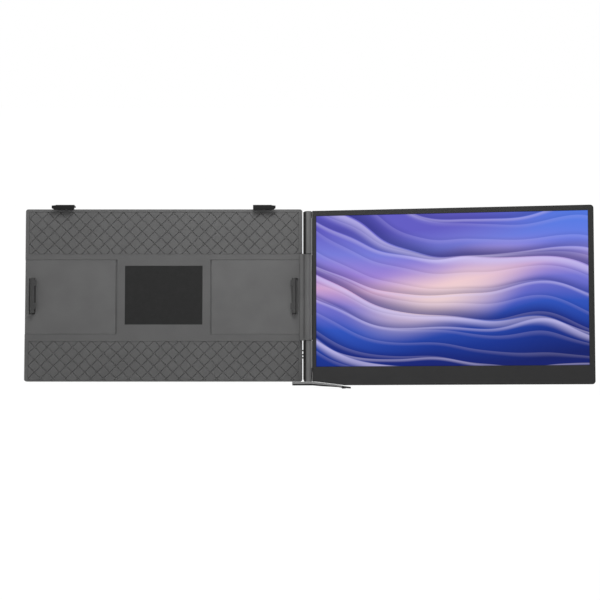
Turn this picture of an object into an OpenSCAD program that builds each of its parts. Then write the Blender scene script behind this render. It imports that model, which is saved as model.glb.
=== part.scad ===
// Side screen for a laptop lid: a bracket clamps on the lid and a hinged screen swings out at its right.
// Millimetres. The origin is the middle of the lid seat; x runs right, y away from the user, z up.

/* [Bracket] */
// Lean of the bracket away from the user, in degrees.
bracket_lean = 12; // [8:1:16]
// Width of the bracket.
bracket_w = 357.4; // [350:0.2:364]
// Height of the bracket.
bracket_h = 222.4; // [218:0.2:228]
// Depth of the bracket with its rear cover.
bracket_d = 13; // [12.6:0.1:14.5]
// Thickness of the front panel.
panel_t = 2.2; // [2:0.1:2.4]
// Thickness of the rear cover.
cover_t = 2; // [1.8:0.1:2.2]
// Thickness of the side walls.
wall_t = 2.2; // [1.8:0.1:2.4]
// Corner radius of the bracket seen from the front.
corner_r = 3; // [3:0.5:6]
// Inset of the grip strips from the side edges.
grip_inset = 4.9; // [4:0.1:6]
// Thickness of the grip strips.
grip_t = 1.2; // [1:0.1:1.4]
// Number of half cells of the groove lattice across a strip.
groove_cells = 43; // [35:2:49]
// Half width of a grip groove.
groove_half = 0.8; // [0.5:0.05:1]
// Depth of a grip groove.
groove_d = 0.8; // [0.5:0.05:0.85]

/* [Arms and jaws] */
// Height of the channel that the two arms slide in.
channel_h = 96.2; // [92:0.1:98]
// Height of the channel's middle above the origin.
channel_z = -2.4; // [-3:0.1:-1]
// Half width of the fixed bridge between the arms.
bridge_half = 60; // [56:1:62]
// Thickness of the arm flange behind the front panel.
flange_t = 2.2; // [1.8:0.1:2.4]
// Overlap of the arm flange with the front panel.
flange_lap = 3; // [2.4:0.1:3.4]
// Travel of each arm.
arm_stroke = 35; // [25:1:38]
// Distance of a jaw's outer face from the bracket's side edge.
jaw_edge = 7.9; // [6.7:0.2:9.1]
// Room for the thickness of the laptop lid.
lid_t = 6.8; // [6:0.1:7]
// Thickness of the jaw lips in front of the lid.
lip_t = 1.6; // [1.2:0.1:1.7]
// Reach of the jaw lips over the lid.
lip_reach = 1.6; // [1.2:0.1:2.4]
// Width of a jaw bar.
jaw_t = 5.6; // [5.4:0.1:6.6]
// Height of a jaw.
jaw_h = 45.6; // [42:0.2:50]
// Height of a jaw's middle above the channel's middle.
jaw_lift = 1.4; // [0:0.1:2]
// Running gap between sliding pieces.
run_gap = 0.25; // [0.2:0.05:0.3]

/* [Hooks] */
// Distance of each top hook from the bracket's side edge.
hook_in = 51.5; // [48:0.1:60]
// Width of a hook head.
hook_w = 24; // [23:0.2:28]
// Height of a lowered hook above the bracket.
hook_rise = 4.8; // [4.6:0.1:6]
// Reach of a lowered hook's lip below the bracket's top edge.
hook_lap = 1.2; // [0.4:0.1:1.6]
// Travel of each hook.
hook_stroke = 25; // [18:1:26]
// Thickness of the sheet that a hook is made of.
hook_t = 2; // [1.6:0.1:2.2]

/* [Hinge] */
// Distance of the hinge axis from the bracket's right edge.
axis_out = 7.3; // [7.1:0.1:8.1]
// Distance of the hinge axis in front of the lid seat.
axis_fwd = 12.6; // [12.4:0.1:13.6]
// Radius of the hinge barrels and of the knuckle.
barrel_r = 5.4; // [5.2:0.1:5.5]
// Height of the arm's knuckle.
knuckle_h = 110; // [106:0.2:112]
// Height of the knuckle's middle above the origin.
knuckle_z = -3.7; // [-4.2:0.1:-2.6]
// Radius of the hinge pins.
pin_r = 2; // [1.7:0.1:2.2]
// Radial clearance of the pins in the knuckle.
pin_fit = 0.04; // [0.02:0.01:0.08]
// Reach of a hinge pin into the knuckle.
pin_in = 20; // [16:1:24]
// Distance of the upper barrel's top below the screen's top edge.
barrel_drop = 0.1; // [0:0.1:1]

/* [Screen] */
// Swing of the screen towards the user, in degrees.
screen_yaw = 10.4; // [6:0.2:16]
// Width of the visible picture.
active_w = 344.2; // [338:0.2:350]
// Height of the visible picture.
active_h = 193.6; // [190:0.2:197]
// Width of the left bezel.
bezel_left = 4.7; // [4.2:0.1:6]
// Width of the right bezel.
bezel_right = 6.7; // [6:0.1:8]
// Height of the top bezel.
bezel_top = 6.5; // [5:0.1:7]
// Height of the chin below the picture.
chin_h = 23.4; // [22.6:0.1:24.2]
// How far the chin reaches below the bracket.
chin_drop = 5.2; // [4.6:0.1:7]
// Depth of the screen in front of the hinge axis.
screen_front = 3.2; // [3:0.05:3.4]
// Depth of the screen behind the hinge axis, upper part.
screen_rear = 4.6; // [4.4:0.1:5.2]
// Extra depth of the lower part that holds the electronics.
bulge_d = 2.8; // [2.6:0.1:3.2]
// Height of the lower part that holds the electronics.
bulge_h = 86.4; // [80.4:1:92.4]
// Width of the shell's rim around the bezel.
rim_w = 0.9; // [0.7:0.1:1.2]
// Wall thickness of the rear shell.
shell_t = 1.6; // [1.4:0.1:1.7]
// Radius of the screen's right corners.
screen_r = 4.2; // [2:0.1:4.4]

/* [Keys and leg] */
// Size of a key across its slot.
key_w = 3.2; // [2.8:0.1:3.4]
// Height of a key.
key_h = 1.8; // [1.6:0.1:2.3]
// How far the keys stand out of the barrel.
key_out = 2.2; // [1.6:0.1:2.3]
// Travel of a key.
key_press = 0.45; // [0.3:0.05:0.5]
// Length of the leg from the hinge axis.
leg_len = 55.2; // [52:0.2:60]
// Length of the leg's tail on the other side of the axis.
leg_tail = 20.6; // [16:0.2:24]
// Width of the leg.
leg_w = 9; // [8:0.2:10]
// Thickness of the leg.
leg_t = 2.7; // [2.4:0.1:2.9]
// Height of the rubber foot under the leg.
foot_h = 0.6; // [0.5:0.1:1.2]

/* [Hidden] */
$fn = 64;
over = 1;
half_w = bracket_w / 2;
half_h = bracket_h / 2;
cover_y = bracket_d - cover_t;
win_lo = channel_z - channel_h / 2;
win_hi = channel_z + channel_h / 2;

grip_half = half_w - grip_inset;
grip_fit = 0.3;
upper_grip = [win_hi + 7.6, half_h - 3.9];
lower_grip = [1.8 - half_h, win_lo - 9.5];
groove_pitch = 4 * grip_half / groove_cells;
upper_cross = upper_grip[0] + 21;
lower_cross = lower_grip[1] - 7.1;

pad_half_w = 50;
pad_half_h = 38;
pad_t = 0.8;

screw_r = 1.1;
screw_head_r = 2.6;
screw_head_t = 1.1;
screw_key_r = 1.3;
screw_key_d = 0.7;
head_gap = 0.1;
boss_r = 3;
boss_in = 9.5;
boss_mid = 62;
cover_screw_at = [
    [half_w - boss_in, half_h - boss_in],
    [half_w - boss_in, boss_in - half_h],
    [boss_mid, half_h - boss_in],
    [boss_mid, boss_in - half_h],
    [boss_in - half_w, half_h - boss_in],
    [boss_in - half_w, boss_in - half_h],
    [-boss_mid, half_h - boss_in],
    [-boss_mid, boss_in - half_h]
];
rear_field_in = 14;
rear_field_d = 0.6;

arm_front = 0.3;
arm_back = panel_t + run_gap + flange_t;
arm_inner = bridge_half + 2;
arm_tail = 24;
arm_flush = 0.2;
stop_gap = 0.3;
flange_end = half_w - wall_t - arm_stroke - stop_gap;
tab_x = 42;
tab_t = 3;
tab_h = 8;
rail_half = half_w - 18;
rail_fence = 3;
rail_shelf = 2.4;
rail_lap = 5;
anchor_half = 6;
anchor_h = 16;

spring_r = 2;
wire_r = 0.5;
coil_pitch = 0.86;
spring_y = arm_back + run_gap + spring_r + wire_r + 0.15;

jaw_out = half_w - jaw_edge;
jaw_in = jaw_out - jaw_t;
jaw_front = lid_t + lip_t;
jaw_r = 1.6;
jaw_end_r = 1;
jaw_moat = 2.7;
jaw_moat_low = 1;
jaw_moat_d = 3;
lip_h = 8;
lip_at = [-13.7, 15.9];
liner_t = 0.8;
jaw_screw_z = 12;
jaw_z = channel_z + jaw_lift;

hook_x = half_w - hook_in;
stem_half = 10;
post_z = win_hi + flange_lap + run_gap + rail_fence + 3.2;
post_t = 3;
stem_y = panel_t + 0.8;
stem_low = post_z + post_t + 6.6;
stem_tab_z = half_h - wall_t - stop_gap - post_t - hook_stroke;
stem_tab_half = 3;
hook_front = lid_t + hook_t + 0.5;
hook_back = stem_y + hook_t + 1.4;
hook_top_z = half_h + hook_rise;
hook_low_z = half_h - hook_lap;
hook_edge_r = 0.7;
nub_l = 5;
hook_pad_t = 0.6;
guide_t = 3;
guide_lip = 1.4;
guide_slot = 4;
guide_z0 = post_z + post_t + 2.6;
guide_z1 = half_h - wall_t - 1;

axis_x = half_w + axis_out;
lower_barrel_z0 = -0.2 - half_h;
knuckle_lo = knuckle_z - knuckle_h / 2;
knuckle_hi = knuckle_z + knuckle_h / 2;
head_x0 = half_w - 3.4;
head_x1 = axis_x - 4.8;
head_rise = 1.4;
head_top = knuckle_hi + head_rise;
head_moat = 2;
head_moat_d = 1.4;
head_lift = 0.35;
head_front = axis_fwd - screen_front - 1;
head_bevel = 0.8;
barrel_gap = 0.9;
washer_t = 0.75;
washer_r = 4.9;
pin_out = 9;
cap_t = 1.2;
cap_r = barrel_r - 0.8;
cap_bevel = 0.9;
flank_y = 3;
flank_end = 9;
side_out = 0.35;
side_x = barrel_r + side_out;
bush_t = 1;
bush_h = 8;

lcd_lip = 1;
lcd_t = 1.2;
backlight_t = 1.6;
frame_t = 2.4;
lcd_side = 1.6;
lcd_top = 2.4;
lcd_low = 3.4;
house_x0 = barrel_r + 0.7;
flank_x = house_x0 - 0.15;
knuckle_lip_y = screen_rear - 0.7;
knuckle_lip_x = sqrt(pow(house_x0, 2) - pow(knuckle_lip_y, 2));
active_x0 = house_x0 + bezel_left;
active_x1 = active_x0 + active_w;
house_x1 = active_x1 + bezel_right;
house_z0 = -half_h - chin_drop;
active_z0 = house_z0 + chin_h;
active_z1 = active_z0 + active_h;
house_z1 = active_z1 + bezel_top;
barrel_top = house_z1 - barrel_drop;
lcd_x0 = active_x0 - lcd_side;
lcd_x1 = active_x1 + lcd_side;
lcd_z0 = active_z0 - lcd_low;
lcd_z1 = active_z1 + lcd_top;
lcd_y0 = lcd_lip - screen_front;
lcd_y1 = lcd_y0 + lcd_t;
back_y = lcd_y1 + backlight_t;
seam_y = frame_t - screen_front;
rim_y = 0.15 - screen_front;
floor_y = screen_rear - shell_t;
deep_y = screen_rear + bulge_d;
bulge_top = house_z0 + bulge_h;
deep_floor = deep_y - shell_t;
tongue_y = back_y + 0.2;
tongue_x1 = 28;
upper_tongue = [knuckle_hi + 6, house_z1 - 8.7];
lower_tongue = [lower_barrel_z0 + 12.5, knuckle_lo - 6];
tongue_screw_x = 21;
rib_t = 1.4;
rib_x = [for (k = [0.25, 0.5, 0.75]) k * house_x1];
chin_screw_x = [for (k = [0.19, 0.44, 0.69, 0.83]) k * house_x1];
chin_screw_z = house_z0 + 9;
chin_boss_r = 2.8;

board_w = 35.6;
board_h = 69;
board_x1 = house_x1 - 8;
board_x0 = board_x1 - board_w;
board_z0 = house_z0 + 5;
board_z1 = board_z0 + board_h;
board_t = 1.2;
board_y1 = tongue_y + board_t;
port_h = 3.2;
usb_w = 8.9;
hdmi_w = 11.2;
port_l = 7.3;
port_wall = 0.35;
port_x1 = house_x1 - 0.25;
usb_z = [board_z0 + 0.22 * board_h, board_z0 + 0.45 * board_h];
hdmi_z = board_z0 + 0.71 * board_h;
port_y = board_y1 + port_h / 2;
cable_w = 0.56 * board_w;
cable_x0 = board_x0 + 0.22 * board_w;
cable_t = 0.3;
cable_drop = 3;

key_drop = [13.4, 18.6, 22.6];
key_z = [for (d = key_drop) knuckle_lo - d];
key_wall_x = -(barrel_r - 1.3);
key_fit = 0.15;
key_flange_t = 0.6;
key_flange_lap = 0.6;
key_flange_h = 3.2;
key_slot_half = key_w / 2 + key_fit;
cavity_half = key_w / 2 + key_flange_lap + 0.3;
cavity_z0 = key_z[2] - 5.4;
cavity_z1 = key_z[0] + 2.9;
cavity_x1 = 2.4;
switch_t = 0.9;
switch_gap = key_press + 0.15;
switch_x0 = key_wall_x + 0.1 + key_flange_t + switch_gap;
key_pcb_x1 = cavity_x1;

leg_top = half_h + 0.7;
leg_neck = 8;
leg_knee = 38;
leg_slim = 2;
slope_gap = 0.35;
knee_z = -leg_top - 3.8;
heel_x = 46;
heel_z = house_z0 - 1;
tip_drop = 1.3;
tip_t = 1.9;
boot_x = heel_x - 1.8;
core_t = 0.8;
core_end = 3;
core_z = heel_z - 0.8;
core_fall = 0.17;
leg_pin_r = 1.6;
leg_pin_head = 3.2;
leg_pin_in = 11;
pad_strip_t = 1.9;
pad_strip_x1 = 16;
pad_strip_thin = 1.1;
foot_r = 2.4;
leg_washer_gap = 0.1;

// Places bracket pieces in the leaning frame.
module in_bracket() {
    rotate([-bracket_lean, 0, 0]) children();
}

// Places screen pieces: x runs along the screen from the hinge axis.
module in_screen() {
    in_bracket() translate([axis_x, -axis_fwd, 0]) rotate([0, 0, -screen_yaw]) children();
}

module on_left() {
    mirror([1, 0, 0]) children();
}

module block(x0, x1, y0, y1, z0, z1) {
    translate([x0, y0, z0]) cube([x1 - x0, y1 - y0, z1 - z0]);
}

// Extrudes a front view outline (x, z) from y0 to y1.
module slab(y0, y1) {
    translate([0, y1, 0]) rotate([90, 0, 0]) linear_extrude(y1 - y0) children();
}

// Extrudes a plan outline (x, y) from z0 to z1.
module column(z0, z1) {
    translate([0, 0, z0]) linear_extrude(z1 - z0) children();
}

// Extrudes a side outline (y, z) from x0 to x1.
module beam(x0, x1) {
    translate([x0, 0, 0]) rotate([90, 0, 90]) linear_extrude(x1 - x0) children();
}

module rounded(x0, x1, z0, z1, r) {
    translate([x0 + r, z0]) square([x1 - x0 - 2 * r, z1 - z0]);
    translate([x0, z0 + r]) square([x1 - x0, z1 - z0 - 2 * r]);
    for (x = [x0 + r, x1 - r], z = [z0 + r, z1 - r]) translate([x, z]) circle(r);
}

module obround(y0, y1, z0, z1) {
    r = (y1 - y0) / 2;
    translate([y0, z0 + r]) square([y1 - y0, z1 - z0 - 2 * r]);
    for (z = [z0 + r, z1 - r]) translate([y0 + r, z]) circle(r);
}

module rod_y(x, z, r, y0, y1) {
    translate([x, y1, z]) rotate([90, 0, 0]) cylinder(r = r, h = y1 - y0);
}

module rod_z(r, z0, z1) {
    translate([0, 0, z0]) cylinder(r = r, h = z1 - z0);
}

// Close wound spring along z.
module coil(z0, z1) {
    n = floor((z1 - z0 - 2 * wire_r) / coil_pitch);
    step = (z1 - z0 - 2 * wire_r) / n;
    translate([0, 0, z0 + wire_r]) rotate_extrude() union() {
        for (i = [0 : n]) translate([spring_r, i * step]) circle(wire_r, $fn = 24);
    }
}

module front_panel() {
    color([0.3, 0.31, 0.33]) in_bracket() difference() {
        union() {
            difference() {
                slab(0, cover_y) rounded(-half_w, half_w, -half_h, half_h, corner_r);
                slab(panel_t, cover_y + over)
                    rounded(wall_t - half_w, half_w - wall_t, wall_t - half_h, half_h - wall_t, corner_r - wall_t);
            }
            for (p = cover_screw_at) rod_y(p[0], p[1], boss_r, panel_t - 0.5, cover_y);
            for (s = [-1, 1])
                block(s * hook_x - post_t, s * hook_x + post_t, panel_t - 0.5, spring_y + 1.6, post_z, post_z + post_t);
        }
        for (s = [0, 1]) mirror([s, 0, 0]) {
            block(bridge_half, half_w + over, -over, panel_t + over, win_lo, win_hi);
            block(half_w - wall_t - over, half_w + over, -over, arm_back + run_gap, win_lo, win_hi);
            block(hook_x - stem_half - run_gap, hook_x + stem_half + run_gap,
                stem_y - run_gap, stem_y + hook_t + run_gap, half_h - wall_t - over, half_h + over);
        }
        for (z = [upper_grip, lower_grip])
            block(-grip_half - grip_fit, grip_half + grip_fit, -over, grip_t, z[0] - grip_fit, z[1] + grip_fit);
        block(-pad_half_w, pad_half_w, -over, pad_t, -pad_half_h, pad_half_h);
        block(head_x0, half_w + over, -over, head_moat_d, head_top, head_top + head_moat);
        for (p = cover_screw_at) rod_y(p[0], p[1], screw_r, panel_t + 1, cover_y + over);
    }
}

module rear_cover() {
    color([0.27, 0.28, 0.3]) in_bracket() difference() {
        slab(cover_y, bracket_d) rounded(-half_w, half_w, -half_h, half_h, corner_r);
        slab(bracket_d - rear_field_d, bracket_d + over) rounded(rear_field_in - half_w, half_w - rear_field_in,
            rear_field_in - half_h, half_h - rear_field_in, corner_r);
        for (p = cover_screw_at) {
            rod_y(p[0], p[1], screw_r, cover_y - over, bracket_d + over);
            rod_y(p[0], p[1], screw_head_r + head_gap, bracket_d - screw_head_t, bracket_d + over);
        }
    }
}

// Strip with a lattice of grooves that cross on its side edges; one crossing lies at height z_cross.
module grip(z, z_cross) {
    difference() {
        block(-grip_half, grip_half, 0, grip_t, z[0], z[1]);
        for (i = [-ceil(groove_cells / 2) - 3 : 3]) {
            translate([grip_half + z_cross + i * groove_pitch, 0, 0]) groove(-45);
            translate([grip_half - z_cross + i * groove_pitch, 0, 0]) groove(45);
        }
    }
}

// V groove that crosses the strip at an angle.
module groove(a) {
    long = 2 * bracket_h;
    rotate([0, a, 0]) translate([0, 0, -long / 2]) linear_extrude(long)
        polygon([[-groove_half, -over], [-groove_half, 0], [0, groove_d], [groove_half, 0], [groove_half, -over]]);
}

module grip_upper() {
    color([0.33, 0.34, 0.36]) in_bracket() grip(upper_grip, upper_cross);
}

module grip_lower() {
    color([0.33, 0.34, 0.36]) in_bracket() grip(lower_grip, lower_cross);
}

module lid_pad() {
    color([0.12, 0.12, 0.13]) in_bracket()
        block(-pad_half_w, pad_half_w, 0, pad_t, -pad_half_h, pad_half_h);
}

module rail() {
    edge = win_hi + flange_lap + run_gap;
    block(-rail_half, rail_half, panel_t, cover_y, edge, edge + rail_fence);
    block(-rail_half, rail_half, arm_back + run_gap, arm_back + run_gap + rail_shelf,
        edge - rail_lap, edge + rail_fence);
}

module upper_rail() {
    color([0.7, 0.7, 0.72]) in_bracket() rail();
}

module lower_rail() {
    color([0.7, 0.7, 0.72]) in_bracket() translate([0, 0, 2 * channel_z]) mirror([0, 0, 1]) rail();
}

// Screw with a hexagon socket in its head.
module screw(x, z, y0, y1) {
    difference() {
        union() {
            rod_y(x, z, screw_r, y0, y1);
            rod_y(x, z, screw_head_r, y1 - screw_head_t, y1);
        }
        translate([x, y1 + over, z]) rotate([90, 0, 0]) cylinder(r = screw_key_r, h = over + screw_key_d, $fn = 6);
    }
}

module cover_screws() {
    color([0.15, 0.15, 0.16]) in_bracket() for (p = cover_screw_at) screw(p[0], p[1], panel_t + 2, bracket_d);
}

module spring_anchor() {
    color([0.7, 0.7, 0.72]) in_bracket() block(-anchor_half, anchor_half, panel_t, cover_y,
        channel_z - anchor_h / 2, channel_z + anchor_h / 2);
}

// Sliding plate, drawn for the right side.
module arm_plate(x1) {
    block(arm_inner, x1, arm_front, arm_back, win_lo + run_gap, win_hi - run_gap);
    block(arm_tail, flange_end, panel_t + run_gap, arm_back, win_lo - flange_lap, win_hi + flange_lap);
    block(tab_x, tab_x + tab_t, arm_back - 0.5, spring_y + spring_r, channel_z - tab_h / 2, channel_z + tab_h / 2);
}

module jaw_screw_holes() {
    for (s = [-1, 1]) {
        rod_y(jaw_in + jaw_t / 2, jaw_z + s * jaw_screw_z, screw_r, arm_front - over, arm_back + over);
        rod_y(jaw_in + jaw_t / 2, jaw_z + s * jaw_screw_z, screw_head_r + head_gap,
            arm_back - screw_head_t, arm_back + over);
    }
}

// Narrow groove in an arm, along the outer side and the lower end of its jaw.
module jaw_groove() {
    z0 = jaw_z - jaw_h / 2;
    block(jaw_out, jaw_out + jaw_moat, -over, arm_front + jaw_moat_d, z0 - jaw_moat_low, z0 + jaw_h);
    block(jaw_in, jaw_out + jaw_moat, -over, arm_front + jaw_moat_d, z0 - jaw_moat_low, z0);
}

module left_arm() {
    color([0.32, 0.33, 0.35]) in_bracket() on_left() difference() {
        arm_plate(half_w - arm_flush);
        jaw_screw_holes();
        jaw_groove();
    }
}

// Holds the lid's side edge, drawn for the right side.
module jaw() {
    z0 = jaw_z - jaw_h / 2;
    difference() {
        union() {
            difference() {
                intersection() {
                    column(z0, z0 + jaw_h) rounded(jaw_in, jaw_out, -jaw_front, arm_front + 2 * jaw_r, jaw_r);
                    slab(-jaw_front, arm_front) rounded(jaw_in, jaw_out, z0, z0 + jaw_h, jaw_end_r);
                }
                block(jaw_in - over, jaw_in + liner_t, -lid_t, over, z0 - over, z0 + jaw_h + over);
            }
            for (z = lip_at) block(jaw_in - lip_reach, jaw_in + 2 * jaw_r, -jaw_front, -lid_t,
                jaw_z + z - lip_h / 2, jaw_z + z + lip_h / 2);
        }
        for (s = [-1, 1]) rod_y(jaw_in + jaw_t / 2, jaw_z + s * jaw_screw_z, screw_r, -4, over);
    }
}

module jaw_liner() {
    block(jaw_in, jaw_in + liner_t, -lid_t, arm_front, jaw_z - jaw_h / 2 + 3, jaw_z + jaw_h / 2 - 3);
}

module jaw_screws() {
    for (s = [-1, 1]) screw(jaw_in + jaw_t / 2, jaw_z + s * jaw_screw_z, -4, arm_back);
}

module left_jaw() {
    color([0.22, 0.22, 0.24]) in_bracket() on_left() jaw();
}

module left_jaw_liner() {
    color([0.08, 0.08, 0.08]) in_bracket() on_left() jaw_liner();
}

module left_jaw_screws() {
    color([0.6, 0.6, 0.62]) in_bracket() on_left() jaw_screws();
}

module arm_spring() {
    translate([0, spring_y, channel_z]) rotate([0, 90, 0]) coil(anchor_half, tab_x);
}

module left_arm_spring() {
    color([0.7, 0.7, 0.72]) in_bracket() on_left() arm_spring();
}

// Plan outline of the head that reaches forward to the hinge axis.
module head_outline() {
    polygon([
        [head_x0, -head_lift],
        [head_x0, head_bevel - head_front],
        [head_x0 + head_bevel, -head_front],
        [head_x1 - 0.6, -head_front],
        [axis_x - barrel_r / 2, -axis_fwd + barrel_r / 2],
        [axis_x, -axis_fwd + barrel_r / 4],
        [axis_x - 1, -axis_fwd + barrel_r - 1.4],
        [head_x1, -head_front + 2.2],
        [head_x1, -head_lift]
    ]);
    translate([axis_x, -axis_fwd]) {
        circle(barrel_r);
        polygon(barrel_r * [[0, 0], [0, -0.9], [0.63, -0.776], [0.92, -0.54], [0.92, 0]]);
    }
}

// Upper end of the head, beside the upper barrel.
module head_step() {
    polygon([
        [head_x0, -head_lift],
        [head_x0, head_bevel - head_front],
        [head_x0 + head_bevel, -head_front],
        [head_x1 - 0.6, -head_front],
        [head_x1 - 0.6, -head_lift]
    ]);
}

module right_arm() {
    color([0.36, 0.37, 0.39]) in_bracket() difference() {
        union() {
            arm_plate(head_x1);
            column(knuckle_lo, knuckle_hi) head_outline();
            column(knuckle_hi - 1, head_top) head_step();
            block(head_x0, head_x1, -2 * head_lift, arm_front + 0.5, win_lo + run_gap, win_hi - run_gap);
            block(half_w + 0.4, head_x1, -2 * head_lift, arm_back, knuckle_lo, knuckle_hi);
        }
        jaw_screw_holes();
        jaw_groove();
        translate([axis_x, -axis_fwd, 0]) {
            rod_z(pin_r + bush_t, knuckle_hi - bush_h, knuckle_hi + over);
            rod_z(pin_r + bush_t, knuckle_lo - over, knuckle_lo + bush_h);
            rod_z(pin_r + pin_fit, knuckle_hi - pin_in - 0.5, knuckle_hi + over);
            rod_z(pin_r + pin_fit, knuckle_lo - over, knuckle_lo + pin_in + 0.5);
        }
    }
}

module right_jaw() {
    color([0.22, 0.22, 0.24]) in_bracket() jaw();
}

module right_jaw_liner() {
    color([0.08, 0.08, 0.08]) in_bracket() jaw_liner();
}

module right_jaw_screws() {
    color([0.6, 0.6, 0.62]) in_bracket() jaw_screws();
}

module right_arm_spring() {
    color([0.7, 0.7, 0.72]) in_bracket() arm_spring();
}

module knuckle_bushes() {
    color([0.75, 0.6, 0.35]) in_bracket() translate([axis_x, -axis_fwd, 0]) difference() {
        union() {
            rod_z(pin_r + bush_t, knuckle_hi - bush_h, knuckle_hi);
            rod_z(pin_r + bush_t, knuckle_lo, knuckle_lo + bush_h);
        }
        rod_z(pin_r + pin_fit, knuckle_lo - over, knuckle_hi + over);
    }
}

// Top hook, drawn for the right side.
module hook() {
    translate([hook_x, 0, 0]) {
        difference() {
            beam(-hook_w / 2, hook_w / 2)
                rounded(-hook_front, hook_back, hook_low_z, hook_top_z, hook_edge_r);
            block(-hook_w / 2 - over, hook_w / 2 + over, hook_t - hook_front, hook_back + over,
                hook_low_z - over, hook_top_z - hook_t);
        }
        block(-stem_half, stem_half, stem_y, stem_y + hook_t, stem_low, hook_top_z - hook_t / 2);
        block(-stem_tab_half, stem_tab_half, stem_y, spring_y + 1.6, stem_tab_z, stem_tab_z + post_t);
        slab(-hook_front, hook_t - hook_front) polygon([
            [hook_w / 2 - 1, hook_low_z],
            [hook_w / 2 + nub_l - 3, hook_low_z],
            [hook_w / 2 + nub_l, hook_low_z + 1.6],
            [hook_w / 2 + nub_l, hook_top_z - 1],
            [hook_w / 2 - 1, hook_top_z - 0.5]
        ]);
    }
}

module hook_pad() {
    translate([hook_x, 0, 0]) block(2 - hook_w / 2, hook_w / 2 - 2, hook_t - hook_front, -0.4,
        hook_top_z - hook_t - hook_pad_t, hook_top_z - hook_t);
}

// Guides the hook's stem, clamped between the panel and the cover.
module hook_guide() {
    edge = stem_half + run_gap;
    lip_y = stem_y + hook_t + run_gap;
    translate([hook_x, 0, 0]) for (s = [0, 1]) mirror([s, 0, 0]) {
        block(edge, edge + guide_t, panel_t, cover_y, guide_z0, guide_z1);
        block(guide_slot, edge + guide_t, lip_y, lip_y + guide_lip, guide_z0, guide_z1);
    }
}

module hook_spring() {
    translate([hook_x, spring_y, 0]) coil(post_z + post_t, stem_tab_z);
}

module left_hook() {
    color([0.1, 0.1, 0.11]) in_bracket() on_left() hook();
}

module left_hook_pad() {
    color([0.05, 0.05, 0.05]) in_bracket() on_left() hook_pad();
}

module left_hook_guide() {
    color([0.7, 0.7, 0.72]) in_bracket() on_left() hook_guide();
}

module left_hook_spring() {
    color([0.7, 0.7, 0.72]) in_bracket() on_left() hook_spring();
}

module right_hook() {
    color([0.1, 0.1, 0.11]) in_bracket() hook();
}

module right_hook_pad() {
    color([0.05, 0.05, 0.05]) in_bracket() hook_pad();
}

module right_hook_guide() {
    color([0.7, 0.7, 0.72]) in_bracket() hook_guide();
}

module right_hook_spring() {
    color([0.7, 0.7, 0.72]) in_bracket() hook_spring();
}

module tongue(z, y1) {
    block(1, tongue_x1, tongue_y, y1, z[0], z[1]);
}

module tongue_screw_holes(z, y0, y1, r) {
    for (k = [z[0] + 8, z[1] - 8]) rod_y(tongue_screw_x, k, r, y0, y1);
}

module upper_barrel() {
    color([0.3, 0.31, 0.33]) in_screen() difference() {
        union() {
            rod_z(barrel_r, knuckle_hi + barrel_gap, barrel_top - cap_t);
            block(-side_x, 0, -flank_y, flank_y, knuckle_hi + barrel_gap, barrel_top - cap_t);
            block(0, flank_x, -flank_y, flank_y, knuckle_hi + barrel_gap, barrel_top - flank_end);
            tongue(upper_tongue, floor_y);
        }
        rod_z(pin_r, knuckle_hi, knuckle_hi + barrel_gap + pin_out);
        rod_z(cap_r, barrel_top - cap_t - 4, barrel_top);
        tongue_screw_holes(upper_tongue, tongue_y - over, floor_y + over, screw_r);
    }
}

module lower_barrel() {
    color([0.3, 0.31, 0.33]) in_screen() difference() {
        union() {
            rod_z(barrel_r, lower_barrel_z0, knuckle_lo - barrel_gap);
            block(-side_x, 0, -flank_y, flank_y, lower_barrel_z0 + 2, knuckle_lo - barrel_gap);
            block(0, flank_x, -flank_y, flank_y, cavity_z0 - 7.4, knuckle_lo - barrel_gap);
            tongue(lower_tongue, deep_floor);
        }
        rod_z(pin_r, knuckle_lo - barrel_gap - pin_out, knuckle_lo);
        rod_z(leg_pin_r, lower_barrel_z0 - over, lower_barrel_z0 + leg_pin_in);
        block(key_wall_x, cavity_x1, -cavity_half, cavity_half, cavity_z0, cavity_z1);
        for (z = key_z) block(-side_x - over, key_wall_x + over, -key_slot_half, key_slot_half,
            z - key_h / 2 - key_fit, z + key_h / 2 + key_fit);
        tongue_screw_holes(lower_tongue, tongue_y - over, deep_floor + over, screw_r);
    }
}

module barrel_cap() {
    z0 = barrel_top - cap_t;
    color([0.2, 0.2, 0.22]) in_screen() rotate_extrude() polygon([
        [0, z0 - 4],
        [cap_r, z0 - 4],
        [cap_r, z0],
        [barrel_r, z0],
        [barrel_r, barrel_top - cap_bevel],
        [barrel_r - cap_bevel, barrel_top],
        [0, barrel_top]
    ]);
}

module upper_pin() {
    color([0.75, 0.75, 0.77]) in_screen() rod_z(pin_r, knuckle_hi - pin_in, knuckle_hi + barrel_gap + pin_out);
}

module lower_pin() {
    color([0.75, 0.75, 0.77]) in_screen() rod_z(pin_r, knuckle_lo - barrel_gap - pin_out, knuckle_lo + pin_in);
}

module hinge_washers() {
    color([0.75, 0.75, 0.77]) in_screen() difference() {
        union() {
            rod_z(washer_r, knuckle_hi + barrel_gap - washer_t, knuckle_hi + barrel_gap);
            rod_z(washer_r, knuckle_lo - barrel_gap, knuckle_lo - barrel_gap + washer_t);
        }
        rod_z(pin_r, knuckle_lo - over, knuckle_hi + over);
    }
}

// Front outline of the screen less a margin, with the corner above the leg cut away.
module screen_outline(m) {
    difference() {
        union() {
            rounded(house_x0 + m, house_x1 - m, house_z0 + m, house_z1 - m, screen_r - m);
            translate([house_x0 + m, house_z0 + m]) square([screen_r, house_z1 - house_z0 - 2 * m]);
        }
        translate([0, m]) polygon([
            [house_x0 - over, -leg_top + slope_gap],
            [leg_neck, -leg_top + slope_gap],
            [leg_knee, knee_z + slope_gap],
            [heel_x, house_z0],
            [heel_x, house_z0 - over],
            [house_x0 - over, house_z0 - over]
        ]);
    }
}

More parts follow.
